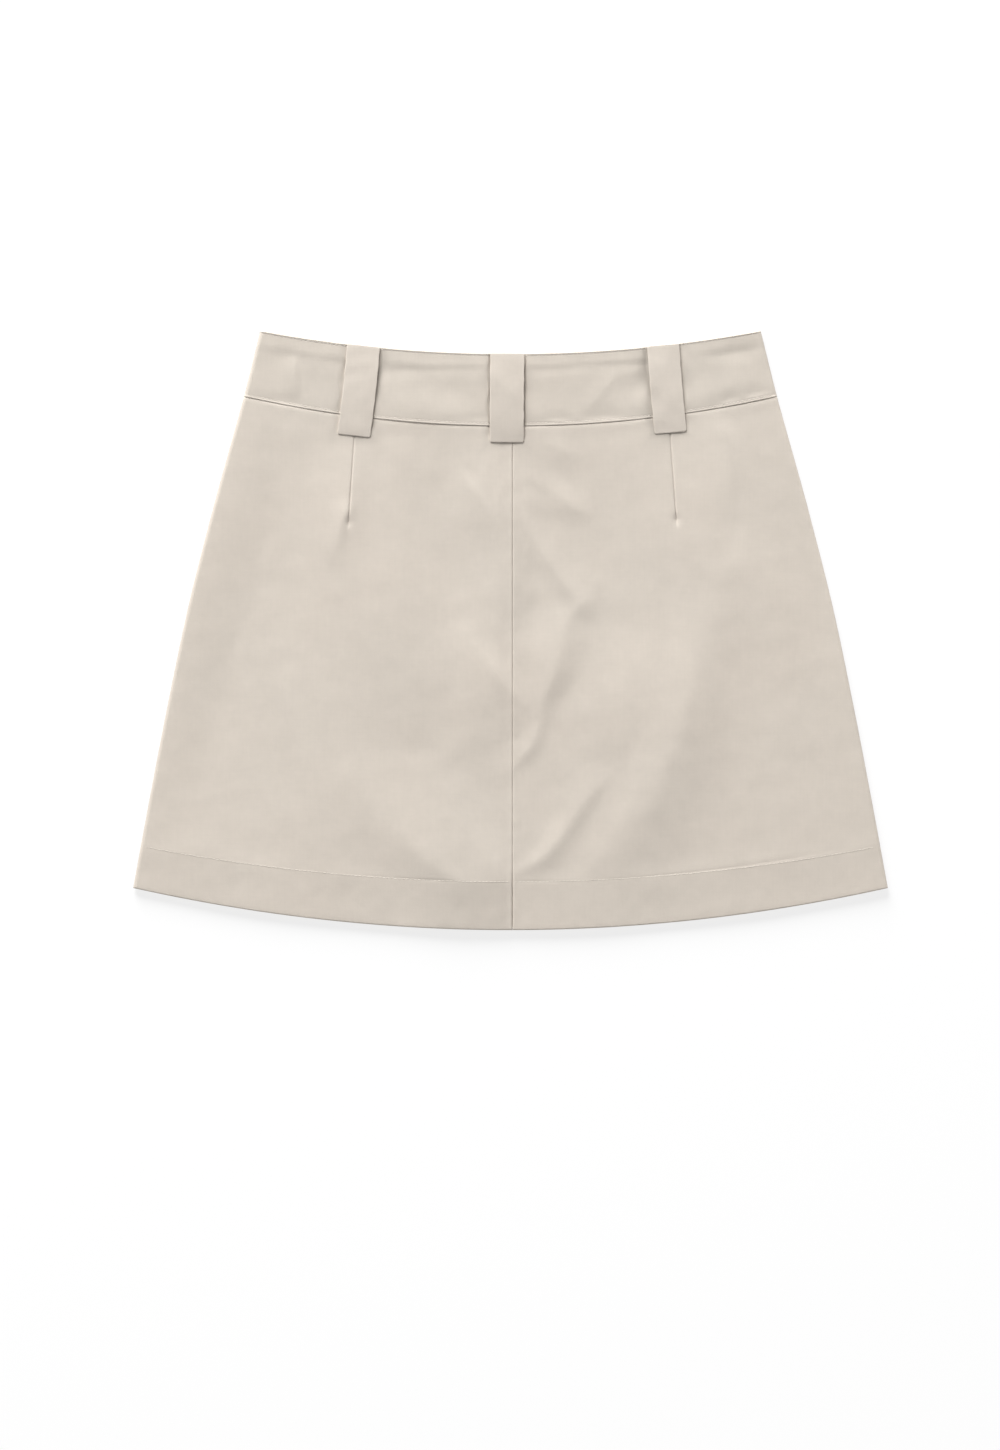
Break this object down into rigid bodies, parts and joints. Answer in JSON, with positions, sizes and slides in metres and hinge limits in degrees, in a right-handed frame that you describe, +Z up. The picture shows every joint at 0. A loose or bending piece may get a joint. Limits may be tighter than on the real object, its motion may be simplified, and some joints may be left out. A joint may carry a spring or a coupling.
{
  "type": "cargo utility skirt",
  "caption": "A-line mini skirt of cotton drill, laid flat with its back up: curved waistband, wide belt loops, back darts, centre-back seam, turned-up hem, zip in the centre front.",
  "frame": {"origin": "centre of the flat skirt's outline, on the surface that it lies on", "axes": "+X across the skirt (towards the right as it lies, back up), +Y towards the waist, +Z up out of the surface"},
  "size_m": [0.5128, 0.4072, 0.0095],
  "materials": {
    "drill": "beige cotton drill, matt, fine diagonal twill",
    "loop_drill": "the same beige drill, sewn double in straps, matt",
    "zip_tape": "beige woven zip tape with a coil",
    "zip_metal": "dull antique brass"
  },
  "bodies": {
    "root": {"back_left": "drill", "back_right": "drill", "waistband_back": "drill", "belt_loop_left": "loop_drill", "belt_loop_centre": "loop_drill", "belt_loop_right": "loop_drill", "front_left": "drill", "front_right": "drill", "waistband_front_left": "drill", "waistband_front_right": "drill", "zip_tape": "zip_tape", "zip_slider": "zip_metal"}
  },
  "joints": []
}
